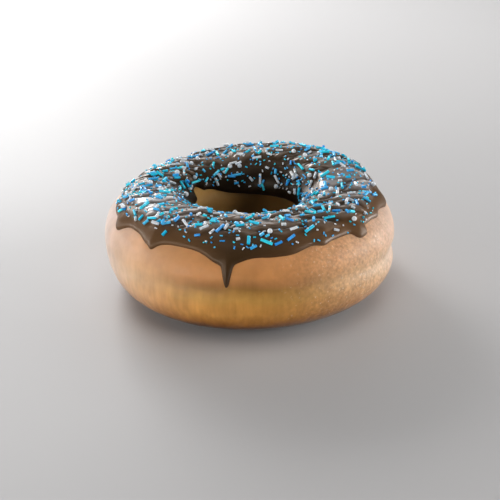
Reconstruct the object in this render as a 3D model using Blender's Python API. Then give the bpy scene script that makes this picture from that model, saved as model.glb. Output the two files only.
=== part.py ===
"""Iced ring doughnut with sugar sprinkles, at its real size.

Metres, +Z up. The origin is the middle of the flat underside that the doughnut rests on.
The front of the doughnut, with its one long drip of icing, faces -Y.

The dough is a ring whose section is a soft, squarish oval, with a slight waist at half height.
The icing is a skin poured over the top, with drips down its outer edge and a rim inside the hole.
The sprinkles are fused to the icing: short sugar strands, and round sugar pearls.

Azimuths are in degrees about +Z from +X. A turn runs round the ring's section, in radians:
0 is its outermost place, a quarter turn its top, half a turn the wall of the hole.
"""
import math
import random

import bmesh
import bpy
import numpy as np
from mathutils import Matrix, Vector

MM = 0.001

# Dough ring
OUTER_RADIUS = 48.0 * MM
HOLE_RADIUS = 16.4 * MM
DOUGH_TOP = 30.3 * MM
WIDEST_HEIGHT = 15.9 * MM
SUNK_DEPTH = 0.8 * MM
SHOULDER_SQUARENESS = 2.5
FOOT_SQUARENESS = 2.28
WAIST_HEIGHT = 13.2 * MM
WAIST_SPREAD = 1.7 * MM
WAIST_DEPTH = 0.55 * MM
WAIST_WAVES = ((1, 0.45 * MM, -10),)

# The waist climbs towards the front: azimuth of the climb's middle, rise, half width, squareness
WAIST_CLIMB = (276, 5.6 * MM, 62, 3.0)

# Where the ring's own middle lies, so that its outline is centred on the origin
RING_MIDDLE = (-0.35 * MM, 0.2 * MM)

# Unevenness of a hand-cut ring: waves about each size, as waves per turn, height and crest azimuth
OUTER_WAVES = ((2, 0.2 * MM, -38), (3, 0.4 * MM, -9))
HOLE_WAVES = ((1, 0.7 * MM, 150), (2, 0.8 * MM, 9))
TOP_WAVES = ((1, 1.0 * MM, 7), (2, 1.2 * MM, 57), (3, 0.4 * MM, -47))
LOWER_LOBE = 0.2 * MM
LOWER_LOBE_WAVES = ((1, 0.9 * MM, -38),)

# Icing skin
ICING_THICKNESS = 1.9 * MM
RIM_THICKNESS = 0.45 * MM
THINNING_WIDTH = 7.0 * MM
RIM_ROW = 0.02
SKIN_GAP = 0.3 * MM
ICING_EDGE_HEIGHT = 27.7 * MM
ICING_EDGE_WAVES = ((1, 0.5 * MM, 290),)
INNER_EDGE_HEIGHT = 22.2 * MM
INNER_EDGE_WAVES = ((1, 0.3 * MM, 150), (3, 0.3 * MM, 20))

# Drips down the outer edge: azimuth of the tip, length below the edge, half width, squareness
DRIPS = (
    (193.0, 0.8 * MM, 12.0, 2.0),
    (206.2, 2.3 * MM, 4.3, 1.9),
    (228.5, 1.5 * MM, 5.5, 2.0),
    (230.6, 0.9 * MM, 1.8, 2.0),
    (261.5, 3.0 * MM, 8.0, 2.0),
    (262.3, 6.0 * MM, 1.6, 2.6),
    (281.5, 1.2 * MM, 11.0, 3.0),
    (301.5, 0.5 * MM, 3.0, 2.0),
    (321.9, 1.7 * MM, 4.2, 4.0),
    (339.5, 0.5 * MM, 3.5, 2.0),
    (356.5, 1.6 * MM, 6.5, 2.2),
    (26.0, 1.0 * MM, 4.5, 2.0),
    (42.0, 2.6 * MM, 3.6, 1.8),
    (58.0, 1.0 * MM, 7.0, 2.0),
    (77.0, 1.6 * MM, 8.0, 2.0),
    (78.0, 3.4 * MM, 2.4, 2.0),
    (98.0, 1.4 * MM, 5.0, 2.5),
    (117.0, 2.4 * MM, 4.2, 1.8),
    (136.0, 1.1 * MM, 6.0, 2.0),
    (152.0, 1.8 * MM, 4.2, 2.5),
    (170.0, 1.2 * MM, 5.0, 2.0),
)

# Arches in the edge inside the hole: azimuth, rise, half width, squareness
INNER_ARCHES = (
    (136.0, 2.0 * MM, 16.0, 2.0),
    (147.5, 1.9 * MM, 6.5, 4.0),
    (205.0, 1.6 * MM, 12.0, 2.0),
    (292.0, 2.2 * MM, 15.0, 2.5),
    (340.0, 1.2 * MM, 9.0, 2.0),
)

# Sprinkles
STRAND_RADIUS = 0.5 * MM
STRAND_LENGTHS = (2.7 * MM, 5.0 * MM)
PEARL_RADIUS = 0.9 * MM
STRAND_COUNT = 120
PEARL_COUNT = 18
SPRINKLE_CLEARANCE = 1.4 * MM
SPRINKLE_SINK = 0.3 * MM
SPRINKLED_OUTSIDE = 29.0 * MM
SPRINKLED_INSIDE = 25.6 * MM
SPRINKLE_SEED = 11

# Facets
DOUGH_COLUMNS = 54
DOUGH_ROWS = 24
ICING_COLUMNS = 116
ICING_ROWS = 12
UNDERSIDE_ROWS = 11
CURVE_STEPS = 240
EDGE_STEPS = 1440
WAIST_CROWDING = 1.3
DRIP_CROWDING = 1.8
SMALLEST_EDGE = 0.002 * MM
SHARP_ANGLE = 40


def waves(azimuth, parts):
    """The sum of waves round the ring, each with its crest at the azimuth given in degrees."""
    total = np.zeros_like(azimuth)
    for turns, height, crest in parts:
        total = total + height * np.cos(turns * (azimuth - math.radians(crest)))
    return total


def humps(azimuth, parts):
    """The sum of humps round the ring: azimuth of each in degrees, height, half width, squareness."""
    total = np.zeros_like(azimuth)
    for middle, height, half_width, squareness in parts:
        away = (np.degrees(azimuth) - middle + 180) % 360 - 180
        total = total + height * np.exp(-np.abs(away / half_width) ** squareness)
    return total


def waist_height(azimuth):
    """Height of the waist, where the dough is pale and a little drawn in."""
    return WAIST_HEIGHT + humps(azimuth, (WAIST_CLIMB,))


def dough_top(azimuth):
    """Height of the dough's crown at each azimuth."""
    return DOUGH_TOP + waves(azimuth, TOP_WAVES)


def dough_points(azimuth, turn):
    """Points on the dough, for equal arrays of azimuth and turn, as an array with X, Y, Z last."""
    outer = OUTER_RADIUS + waves(azimuth, OUTER_WAVES)
    hole = HOLE_RADIUS + waves(azimuth, HOLE_WAVES)
    upper = np.sin(turn) > 0
    power = 2 / np.where(upper, SHOULDER_SQUARENESS, FOOT_SQUARENESS)
    across = np.sign(np.cos(turn)) * np.abs(np.cos(turn)) ** power
    rise = np.abs(np.sin(turn)) ** power
    above = (dough_top(azimuth) - WIDEST_HEIGHT) * rise
    below = (WIDEST_HEIGHT + SUNK_DEPTH) * rise
    height = WIDEST_HEIGHT + np.where(upper, above, -below)
    outside = np.clip(across, 0, 1)
    waist_depth = WAIST_DEPTH + waves(azimuth, WAIST_WAVES)
    waist = waist_depth * np.exp(-((height - waist_height(azimuth)) / WAIST_SPREAD) ** 2)
    lobe_place = np.clip(1 - height / waist_height(azimuth), 0, 1)
    lobe = (LOWER_LOBE + waves(azimuth, LOWER_LOBE_WAVES)) * np.sin(math.pi * lobe_place)
    radius = (outer + hole) / 2 + (outer - hole) / 2 * across + outside * (lobe - waist)
    x = RING_MIDDLE[0] + radius * np.cos(azimuth)
    y = RING_MIDDLE[1] + radius * np.sin(azimuth)
    return np.stack([x, y, height], -1)


def dough_normals(azimuth, turn):
    """Outward unit normals of the dough at the same places as dough_points."""
    step = 1e-3
    along = dough_points(azimuth + step, turn) - dough_points(azimuth - step, turn)
    around = dough_points(azimuth, turn + step) - dough_points(azimuth, turn - step)
    normal = np.cross(along, around)
    return normal / np.linalg.norm(normal, axis=-1, keepdims=True)


def turn_at_height(azimuth, height):
    """Turn at which the outer side of the dough's upper half reaches a height."""
    share = np.clip((height - WIDEST_HEIGHT) / (dough_top(azimuth) - WIDEST_HEIGHT), 0, 1)
    return np.arcsin(share ** (SHOULDER_SQUARENESS / 2))


def outer_edge_height(azimuth):
    """Height of the icing's outer edge above the table, with its drips."""
    return ICING_EDGE_HEIGHT + waves(azimuth, ICING_EDGE_WAVES) - humps(azimuth, DRIPS)


def inner_edge_height(azimuth):
    """Height of the icing's edge inside the hole."""
    return INNER_EDGE_HEIGHT + waves(azimuth, INNER_EDGE_WAVES) + humps(azimuth, INNER_ARCHES)


def icing_turns(azimuth):
    """Turns at which the icing starts outside and ends inside the hole."""
    start = turn_at_height(azimuth, outer_edge_height(azimuth))
    end = math.pi - turn_at_height(azimuth, inner_edge_height(azimuth))
    return start, end


def icing_thickness(points, edge_points):
    """Thickness of the skin at each point: full inside, and thinner towards its edges."""
    thickness = np.empty(points.shape[:-1])
    for row in range(points.shape[1]):
        apart = points[:, row, None, :] - edge_points[None, :, :]
        distance = np.sqrt((apart ** 2).sum(-1)).min(axis=1)
        short = 1 - np.clip(distance / THINNING_WIDTH, 0, 1)
        thickness[:, row] = RIM_THICKNESS + (ICING_THICKNESS - RIM_THICKNESS) * (1 - short ** 2)
    return thickness


def spaced(positions, density, count, closed):
    """Count positions whose spacing follows a density given along a fine list of positions."""
    running = np.concatenate([[0], np.cumsum((density[1:] + density[:-1]) / 2 * np.diff(positions))])
    steps = np.linspace(0, running[-1], count, endpoint=not closed)
    return np.interp(steps, running, positions)


def turns_along(azimuth, start, end, shares):
    """Turns at the given shares of the way over the section from start to end, for each azimuth."""
    fine = np.linspace(0, 1, CURVE_STEPS)
    turn = start[:, None] + (end - start)[:, None] * fine[None, :]
    place = dough_points(np.repeat(azimuth[:, None], len(fine), 1), turn)
    length = np.concatenate([np.zeros((len(azimuth), 1)),
                             np.cumsum(np.linalg.norm(np.diff(place, axis=1), axis=-1), axis=1)], 1)
    rows = [np.interp(shares * length[i, -1], length[i], turn[i]) for i in range(len(azimuth))]
    return np.array(rows)


def grid_faces(columns, rows, first, wraps):
    """Quads between neighbouring columns of a closed ring of points, rows counted up the section."""
    faces = []
    for column in range(columns):
        here = first + column * rows
        beside = first + (column + 1) % columns * rows
        for row in range(rows if wraps else rows - 1):
            above = (row + 1) % rows
            faces.append((here + row, beside + row, beside + above, here + above))
    return faces


def solid(name, points, faces, materials):
    """One closed object from points and faces, with triangles only and its faces pointing out."""
    mesh = bpy.data.meshes.new(name)
    mesh.from_pydata([tuple(point) for point in points], [], faces)
    work = bmesh.new()
    work.from_mesh(mesh)
    bmesh.ops.triangulate(work, faces=work.faces[:])
    bmesh.ops.recalc_face_normals(work, faces=work.faces[:])
    work.to_mesh(mesh)
    work.free()
    mesh.shade_smooth()
    for material in materials:
        mesh.materials.append(material)
    built = bpy.data.objects.new(name, mesh)
    bpy.context.collection.objects.link(built)
    return built


def food_material(name, colour, roughness):
    """A plain Principled material in one linear colour."""
    material = bpy.data.materials.new(name)
    material.use_nodes = True
    shader = material.node_tree.nodes["Principled BSDF"]
    shader.inputs["Base Color"].default_value = (*colour, 1)
    shader.inputs["Roughness"].default_value = roughness
    shader.inputs["Metallic"].default_value = 0
    return material


def build_dough(material):
    """The ring of dough, cut flat underneath where it rests."""
    flat_share = (WIDEST_HEIGHT / (WIDEST_HEIGHT + SUNK_DEPTH)) ** (FOOT_SQUARENESS / 2)
    flat_turn = math.asin(flat_share)
    fine = np.linspace(-flat_turn, math.pi + flat_turn, 2 * CURVE_STEPS)
    section = dough_points(np.zeros_like(fine), fine)
    travel = np.concatenate([[0], np.cumsum(np.linalg.norm(np.diff(section, axis=0), axis=1))])
    middle = WAIST_HEIGHT + WAIST_CLIMB[1] / 2
    near_waist = np.exp(-((section[:, 2] - middle) / WAIST_CLIMB[1]) ** 2) * (fine < math.pi / 2)
    places = spaced(travel, 1 + WAIST_CROWDING * near_waist, DOUGH_ROWS, False)
    turns = np.interp(places, travel, fine)
    azimuth = np.linspace(0, 2 * math.pi, DOUGH_COLUMNS, endpoint=False)
    around, turn = np.meshgrid(azimuth, turns, indexing="ij")
    points = dough_points(around, turn)
    points[:, 0, 2] = 0
    points[:, -1, 2] = 0
    faces = grid_faces(DOUGH_COLUMNS, DOUGH_ROWS, 0, True)
    return solid("dough", points.reshape(-1, 3), faces, [material])


def icing_shares(count):
    """Shares of the way over the icing from edge to edge, closer together where the section bends."""
    fine = np.linspace(0, 1, CURVE_STEPS)
    azimuth = np.array([0.0])
    start, end = icing_turns(azimuth)
    turn = turns_along(azimuth, start, end, fine)[0]
    normal = dough_normals(np.zeros_like(turn), turn)
    bend = np.linalg.norm(np.gradient(normal, fine, axis=0), axis=1)
    return spaced(fine, 1 + np.sqrt(bend), count, False)


def icing_grid(azimuth, shares):
    """Azimuths, turns and places on the dough under a grid of icing points."""
    start, end = icing_turns(azimuth)
    turn = turns_along(azimuth, start, end, shares)
    around = np.repeat(azimuth[:, None], len(shares), 1)
    return around, turn, dough_points(around, turn)


def edge_line():
    """Points close together along both edges of the icing, on the dough."""
    azimuth = np.linspace(0, 2 * math.pi, EDGE_STEPS, endpoint=False)
    start, end = icing_turns(azimuth)
    return np.concatenate([dough_points(azimuth, start), dough_points(azimuth, end)])


def icing_columns():
    """Azimuths of the icing's columns, closer together where the edge falls steeply into a drip."""
    fine = np.linspace(0, 2 * math.pi, 2 * EDGE_STEPS + 1)
    slope = np.abs(np.gradient(outer_edge_height(fine), fine)) / OUTER_RADIUS
    return spaced(fine, 1 + DRIP_CROWDING * slope, ICING_COLUMNS, True)


def build_icing(material):
    """The closed skin of icing: its upper face, a blunt rim at each edge, and its underside."""
    azimuth = icing_columns()
    shares = icing_shares(ICING_ROWS - 2)
    shares = np.concatenate([[0, RIM_ROW], shares[1:-1], [1 - RIM_ROW, 1]])
    around, turn, place = icing_grid(azimuth, shares)
    thickness = icing_thickness(place, edge_line())
    upper = place + dough_normals(around, turn) * (SKIN_GAP + thickness)[..., None]
    around, turn, place = icing_grid(azimuth, icing_shares(UNDERSIDE_ROWS)[::-1])
    under = place + dough_normals(around, turn) * SKIN_GAP
    points = np.concatenate([upper, under], 1)
    faces = grid_faces(len(azimuth), points.shape[1], 0, True)
    return solid("icing", points.reshape(-1, 3), faces, [material])


def sprinkle_places():
    """Where each sprinkle lies: kind, place on the icing, upward normal, heading and length.

    Places are drawn by a seeded rule and kept where they are clear of those before them, so the
    sprinkles are spread evenly, as they are shaken on while the icing is still wet.
    """
    draw = random.Random(SPRINKLE_SEED)
    edge = edge_line()
    taken = np.zeros((0, 3))
    places = []
    wanted = ["strand"] * STRAND_COUNT + ["pearl"] * PEARL_COUNT
    while wanted:
        azimuth = np.array([draw.uniform(0, 2 * math.pi)])
        share = draw.random()
        keep = draw.random()
        heading = draw.uniform(0, math.pi)
        length = draw.uniform(*STRAND_LENGTHS)
        start = turn_at_height(azimuth, np.array([SPRINKLED_OUTSIDE]))
        end = math.pi - turn_at_height(azimuth, np.array([SPRINKLED_INSIDE]))
        turn = turns_along(azimuth, start, end, np.array([share]))[0]
        on_dough = dough_points(azimuth, turn)[0]
        if keep * OUTER_RADIUS > math.hypot(on_dough[0], on_dough[1]):
            continue
        normal = dough_normals(azimuth, turn)[0]
        side = np.array([-math.sin(azimuth[0]), math.cos(azimuth[0]), 0])
        across = np.cross(normal, side)
        direction = side * math.cos(heading) + across * math.sin(heading)
        reach = length / 2 if wanted[0] == "strand" else 0
        middle = on_dough + normal * (SKIN_GAP + ICING_THICKNESS)
        spine = np.array([middle + direction * step * reach for step in (-1, -0.5, 0, 0.5, 1)])
        apart = np.linalg.norm(spine[:, None, :] - taken[None, :, :], axis=-1)
        if len(taken) and apart.min() < SPRINKLE_CLEARANCE:
            continue
        taken = np.concatenate([taken, spine])
        thickness = icing_thickness(on_dough[None, None, :], edge)[0, 0]
        place = on_dough + normal * (SKIN_GAP + thickness)
        places.append((wanted.pop(0), place, normal, direction, length))
    return places


def sprinkle_object(kind, place, normal, direction, length, material):
    """One sugar strand or pearl, laid on the icing and pressed a little into it."""
    mesh = bpy.data.meshes.new(kind)
    work = bmesh.new()
    if kind == "strand":
        bmesh.ops.create_cone(work, cap_ends=True, segments=6, radius1=STRAND_RADIUS,
                              radius2=STRAND_RADIUS, depth=length)
        lift = STRAND_RADIUS - SPRINKLE_SINK
    else:
        bmesh.ops.create_uvsphere(work, u_segments=6, v_segments=4, radius=PEARL_RADIUS)
        lift = PEARL_RADIUS - SPRINKLE_SINK
    up = Vector(normal)
    along = Vector(direction)
    turned = Matrix((up, along.cross(up), along)).transposed().to_4x4()
    turned.translation = Vector(place) + up * lift
    bmesh.ops.transform(work, matrix=turned, verts=work.verts[:])
    work.to_mesh(mesh)
    work.free()
    mesh.materials.append(material)
    return bpy.data.objects.new(kind, mesh)


def keep_one_body(built):
    """Drops loose scraps and the skins of sealed hollows, and leaves triangles without slivers."""
    work = bmesh.new()
    work.from_mesh(built.data)
    bmesh.ops.dissolve_degenerate(work, dist=SMALLEST_EDGE, edges=work.edges[:])
    bmesh.ops.triangulate(work, faces=work.faces[:])
    unseen = set(work.verts)
    bodies = []
    while unseen:
        body = {unseen.pop()}
        front = list(body)
        while front:
            for edge in front.pop().link_edges:
                for vertex in edge.verts:
                    if vertex not in body:
                        body.add(vertex)
                        front.append(vertex)
        unseen -= body
        bodies.append(body)
    bodies.sort(key=len)
    scraps = [vertex for body in bodies[:-1] for vertex in body]
    bmesh.ops.delete(work, geom=scraps, context="VERTS")
    work.to_mesh(built.data)
    work.free()


def fuse_sprinkles(icing, materials):
    """Joins every sprinkle to the icing with one union, then removes the loose ones."""
    pile = bpy.data.collections.new("sprinkles")
    bpy.context.scene.collection.children.link(pile)
    for number, place in enumerate(sprinkle_places()):
        kind = place[0]
        colour = "white" if kind == "pearl" else ("cyan", "blue", "cyan", "white")[number % 4]
        pile.objects.link(sprinkle_object(*place, materials[colour]))
    union = icing.modifiers.new("fused sprinkles", "BOOLEAN")
    union.operation = "UNION"
    union.operand_type = "COLLECTION"
    union.collection = pile
    union.solver = "EXACT"
    union.material_mode = "TRANSFER"
    evaluated = icing.evaluated_get(bpy.context.evaluated_depsgraph_get())
    fused = bpy.data.meshes.new_from_object(evaluated)
    icing.modifiers.remove(union)
    icing.data = fused
    icing.data.name = "icing"
    for sprinkle in list(pile.objects):
        bpy.data.objects.remove(sprinkle, do_unlink=True)
    bpy.data.collections.remove(pile)
    keep_one_body(icing)
    icing.data.shade_smooth()
    icing.data.set_sharp_from_angle(angle=math.radians(SHARP_ANGLE))


def build():
    """Clears the scene and builds the doughnut."""
    for old in list(bpy.data.objects):
        bpy.data.objects.remove(old, do_unlink=True)
    build_dough(food_material("fried_dough", (0.58, 0.28, 0.12), 0.6))
    icing = build_icing(food_material("chocolate_icing", (0.075, 0.036, 0.018), 0.25))
    sugar = {
        "cyan": food_material("cyan_sugar", (0.01, 0.48, 0.68), 0.35),
        "blue": food_material("blue_sugar", (0.05, 0.25, 0.68), 0.35),
        "white": food_material("white_sugar", (0.8, 0.82, 0.85), 0.35),
    }
    fuse_sprinkles(icing, sugar)


build()
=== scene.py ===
import math
import random
from types import SimpleNamespace

import bpy
import numpy as np
from mathutils import Matrix, Vector
from mathutils.bvhtree import BVHTree
from mathutils.kdtree import KDTree


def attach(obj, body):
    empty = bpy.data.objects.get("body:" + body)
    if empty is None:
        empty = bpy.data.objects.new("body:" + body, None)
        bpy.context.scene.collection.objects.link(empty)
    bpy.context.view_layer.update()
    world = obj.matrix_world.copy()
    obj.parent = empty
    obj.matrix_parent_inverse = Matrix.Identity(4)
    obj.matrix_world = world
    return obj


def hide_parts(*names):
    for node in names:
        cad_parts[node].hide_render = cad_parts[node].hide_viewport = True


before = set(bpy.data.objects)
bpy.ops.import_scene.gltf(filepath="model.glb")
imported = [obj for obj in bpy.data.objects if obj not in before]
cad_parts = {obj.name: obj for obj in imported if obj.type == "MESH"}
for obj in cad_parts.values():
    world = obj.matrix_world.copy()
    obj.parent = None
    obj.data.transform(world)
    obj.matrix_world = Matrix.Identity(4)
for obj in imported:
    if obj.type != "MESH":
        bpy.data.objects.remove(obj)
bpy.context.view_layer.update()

# Dough
# A ring of raised dough, cut out and fried on both sides: brown above and below, and pale and a
# little drawn in at the waist, where it floated in the oil. It rests on its flat underside.
MM = 0.001
RING_MIDDLE = (-0.35 * MM, 0.2 * MM)
DOUGH_SIZES = {
    "outer radius": 48.0 * MM,
    "hole radius": 16.4 * MM,
    "top height": 30.3 * MM,
    "widest height": 15.9 * MM,
    "sunk depth": 0.8 * MM,
    "shoulder squareness": 2.5,
    "foot squareness": 2.28,
    "waist height": 13.2 * MM,
    "waist spread": 2.4 * MM,
    "waist depth": 0.35 * MM,
    "lower lobe": 0.2 * MM,
}

# Waves round the ring: waves per turn, height and azimuth of the crest
OUTER_WAVES = ((2, 0.2 * MM, -38), (3, 0.4 * MM, -9))
HOLE_WAVES = ((1, 0.7 * MM, 150), (2, 0.8 * MM, 9))
TOP_WAVES = ((1, 1.0 * MM, 7), (2, 1.2 * MM, 57), (3, 0.4 * MM, -47))
WAIST_WAVES = ((1, 0.15 * MM, -10),)
LOWER_LOBE_WAVES = ((1, 0.9 * MM, -38),)

# Where the waist climbs towards the front: azimuth, rise, half width and squareness
WAIST_CLIMB = ((276, 5.6 * MM, 62, 3.0),)

# Where the waist is drawn in most: azimuth, extra depth, half width and squareness
WAIST_PINCHES = ((352, 0.55 * MM, 28, 2.0),)

# How the crust's colour goes round the ring: azimuth, strength, half width and squareness
# The pale sides are a paler fry with painted light where the side lights fall at left and right
PALE_AND_LIT_SIDES = ((348, 0.9, 44, 3.0), (60, 0.25, 24, 2.0), (125, 0.35, 25, 2.0), (190, 0.9, 44, 3.0))
# Painted sheen: a pinkish white put into the crust's colour at the left and right edges
PAINTED_SHEEN_SIDES = ((186, 0.95, 26, 2.0), (350, 0.5, 20, 2.0))
SHADE_LINE_SIDES = ((268, 1.0, 31, 4.0), (95, 0.8, 30, 2.0))
CRACKLED_SIDES = ((318, 1.0, 32, 4.0), (150, 0.7, 30, 2.0), (60, 0.7, 25, 2.0))

# How far the colours and their painted shade line lie below their height in front: azimuth, drop,
# half width and squareness
SHADE_LINE_DROPS = ((278, 0.9 * MM, 36, 4.0),)

# The crust's colours up the side: places from 0 to 1 in a band with the waist at its middle, and
# linear colours. The front one has a dark line of painted shade, where the upper lobe overhangs the
# waist, over golden brown that shows in front.
BAND_HEIGHT = 30 * MM
# Each crust darkens towards the foot: a browner fry, and painted shade near the floor
SHADE_LINE_CRUST = (
    (0.02, (0.08, 0.025, 0.003)),
    (0.10, (0.28, 0.100, 0.010)),
    (0.24, (0.56, 0.26, 0.055)),
    (0.34, (0.57, 0.27, 0.058)),
    (0.41, (0.53, 0.275, 0.060)),
    (0.46, (0.46, 0.23, 0.050)),
    (0.51, (0.35, 0.17, 0.040)),
    (0.56, (0.41, 0.18, 0.055)),
    (0.64, (0.57, 0.25, 0.080)),
    (0.95, (0.62, 0.28, 0.105)),
)
PLAIN_CRUST = (
    (0.02, (0.10, 0.045, 0.012)),
    (0.12, (0.36, 0.155, 0.045)),
    (0.30, (0.58, 0.29, 0.110)),
    (0.50, (0.58, 0.30, 0.112)),
    (0.66, (0.60, 0.30, 0.120)),
    (0.95, (0.62, 0.29, 0.115)),
)
# Paler fried crust with painted light from the side lights, lightest at the waist, where the light is
# painted over the groove's shade
PALE_AND_LIT_CRUST = (
    (0.02, (0.18, 0.085, 0.030)),
    (0.16, (0.43, 0.215, 0.090)),
    (0.34, (0.56, 0.35, 0.190)),
    (0.46, (0.64, 0.45, 0.285)),
    (0.56, (0.64, 0.43, 0.265)),
    (0.66, (0.62, 0.38, 0.225)),
    (0.95, (0.64, 0.37, 0.215)),
)
# Painted sheen colour: the pinkish white of a grazing light on the crust
PAINTED_SHEEN_COLOUR = (0.56, 0.45, 0.40)
SPECK_COLOUR = (0.38, 0.13, 0.035)
# Painted glint: the bright colour given to the oil flecks
PAINTED_GLINT_COLOUR = (0.95, 0.80, 0.62)
# Painted shade in the hole: near-black crust, lighter where the sides are pale and lit
HOLE_SHADE_COLOURS = ((0.06, 0.030, 0.008), (0.52, 0.28, 0.080))
HOLE_SHADE_LIFT = 2.5

# The crust's mottling: the size of its patches, and its lowest and highest value
BAND_WAVER = (9 * MM, -0.03, 0.03)
TONE_PATCHES = (7 * MM, 0.88, 1.10)
STREAKS = (1.6 * MM, -0.11, 0.11)
CRAZING = (1.1 * MM, 0.5, -0.5)
SPECKS = (2.4 * MM, -5.0, 1.0)
OILY_GLINT_FLECKS = (0.9 * MM, -7.0, 1.0)
CRUST_ROUGHNESS = (5 * MM, 0.42, 0.56)
PITS = (0.9 * MM, 0.0, 0.4)

# How tall and how strong the streaks are at the foot, and how fast they fade up the side
STREAK_TALLNESS = 6.0
FOOT_STREAKS = 1.6
STREAK_FADE = 2.0

# How large the cells of the crazing are, its mean value, and how strong it, the specks, the oil
# flecks' painted glints and their gloss are
CRAZING_CELLS = 0.8 * MM
CRAZING_MEAN = 0.6
CRAZING_STRENGTH = 0.34
SPECK_STRENGTH = 0.25
PAINTED_GLINT_STRENGTH = 0.4
OILY_GLOSS = 0.7

CRUST_SIZES = {"crust relief": 0.16 * MM, "crust grain": 3.2 * MM}
DOUGH_COLUMNS = 440
DOUGH_ROWS = 190
SEAM_GAP = 0.02 * MM


def feed(tree, value, slot):
    """Puts a number, a node's output or a Field into an input."""
    if isinstance(value, Field):
        value = value.socket
    if isinstance(value, bpy.types.NodeSocket):
        tree.links.new(value, slot)
    else:
        slot.default_value = value


def add(tree, kind, inputs=None, **settings):
    """A new node with its settings, and its inputs fed by name or identifier."""
    node = tree.nodes.new(kind)
    for name, value in settings.items():
        setattr(node, name, value)
    for name, value in (inputs or {}).items():
        slot = next(slot for slot in node.inputs if name in (slot.identifier, slot.name))
        feed(tree, value, slot)
    return node


class Field:
    """A number that varies over a surface: an output in a node tree, used like any number."""

    def __init__(self, tree, socket):
        self.tree = tree
        self.socket = socket

    def maths(self, operation, *values):
        """What a Math node makes of the values, in their order, or of this number alone."""
        node = self.tree.nodes.new("ShaderNodeMath")
        node.operation = operation
        for value, slot in zip(values or (self,), node.inputs):
            feed(self.tree, value, slot)
        return Field(self.tree, node.outputs[0])

    def __add__(self, other):
        return self.maths("ADD", self, other)

    def __radd__(self, other):
        return self.maths("ADD", self, other)

    def __sub__(self, other):
        return self.maths("SUBTRACT", self, other)

    def __rsub__(self, other):
        return self.maths("SUBTRACT", other, self)

    def __neg__(self):
        return self.maths("SUBTRACT", 0.0, self)

    def __mul__(self, other):
        return self.maths("MULTIPLY", self, other)

    def __rmul__(self, other):
        return self.maths("MULTIPLY", self, other)

    def __truediv__(self, other):
        return self.maths("DIVIDE", self, other)

    def __rtruediv__(self, other):
        return self.maths("DIVIDE", other, self)

    def __pow__(self, other):
        return self.maths("POWER", self, other)

    def __mod__(self, other):
        return self.maths("FLOORED_MODULO", self, other)

    def __gt__(self, other):
        return self.maths("GREATER_THAN", self, other)


# The same names as the functions for arrays, so that one formula serves both arrays and Fields
FIELD_MATHS = SimpleNamespace(
    sin=lambda value: value.maths("SINE"),
    cos=lambda value: value.maths("COSINE"),
    abs=lambda value: value.maths("ABSOLUTE"),
    sign=lambda value: value.maths("SIGN"),
    exp=lambda value: value.maths("EXPONENT"),
    degrees=lambda value: value.maths("DEGREES"),
    where=lambda test, yes, no: no + (yes - no) * test,
    clip=lambda value, low, high: value.maths("MINIMUM", value.maths("MAXIMUM", value, low), high),
)


def ring_waves(azimuth, parts, use):
    """The sum of waves round the ring, each with its crest at the azimuth given in degrees."""
    total = 0.0
    for turns, height, crest in parts:
        total = total + height * use.cos(turns * (azimuth - math.radians(crest)))
    return total


def ring_humps(azimuth, parts, use):
    """The sum of humps round the ring: azimuth in degrees, height, half width and squareness."""
    total = 0.0
    for middle, height, half_width, squareness in parts:
        away = (use.degrees(azimuth) - middle + 180) % 360 - 180
        total = total + height * use.exp(-(use.abs(away / half_width) ** squareness))
    return total


def dough_section(azimuth, turn, size, use):
    """Radius and height of the dough's surface, and its height over the waist.

    A turn runs round the ring's section: 0 is outermost, a quarter turn is the top.
    """
    outer = size["outer radius"] + ring_waves(azimuth, OUTER_WAVES, use)
    hole = size["hole radius"] + ring_waves(azimuth, HOLE_WAVES, use)
    top = size["top height"] + ring_waves(azimuth, TOP_WAVES, use)
    widest = size["widest height"]
    upper = use.sin(turn) > 0
    power = 2 / use.where(upper, size["shoulder squareness"], size["foot squareness"])
    across = use.sign(use.cos(turn)) * use.abs(use.cos(turn)) ** power
    rise = use.abs(use.sin(turn)) ** power
    below = (widest + size["sunk depth"]) * rise
    height = widest + use.where(upper, (top - widest) * rise, -below)
    waist_height = size["waist height"] + ring_humps(azimuth, WAIST_CLIMB, use)
    over_waist = height - waist_height
    waist_depth = size["waist depth"] + ring_waves(azimuth, WAIST_WAVES, use)
    waist_depth = waist_depth + ring_humps(azimuth, WAIST_PINCHES, use)
    waist = waist_depth * use.exp(-(use.abs(over_waist / size["waist spread"]) ** 2))
    lobe_depth = size["lower lobe"] + ring_waves(azimuth, LOWER_LOBE_WAVES, use)
    lobe = lobe_depth * use.sin(math.pi * use.clip(1 - height / waist_height, 0, 1))
    outside = use.clip(across, 0, 1)
    radius = (outer + hole) / 2 + (outer - hole) / 2 * across + outside * (lobe - waist)
    return radius, height, over_waist


def separate(tree, vector):
    """The three parts of a vector, as Fields."""
    node = add(tree, "ShaderNodeSeparateXYZ", {"Vector": vector})
    return [Field(tree, output) for output in node.outputs]


def combine(tree, x, y, z):
    """A vector made of three numbers or Fields."""
    return add(tree, "ShaderNodeCombineXYZ", {"X": x, "Y": y, "Z": z}).outputs[0]


def stretched(tree, vector, by):
    """A vector times a number or a Field."""
    node = add(tree, "ShaderNodeVectorMath", {"Vector": vector, "Scale": by}, operation="SCALE")
    return node.outputs[0]


def noise(tree, place, detail=2.0, roughness=0.5):
    """Soft noise about one unit in size, as a Field from 0 to 1, and as a colour."""
    node = add(tree, "ShaderNodeTexNoise",
               {"Vector": place, "Scale": 1.0, "Detail": detail, "Roughness": roughness})
    return Field(tree, node.outputs["Fac"]), node.outputs["Color"]


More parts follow.
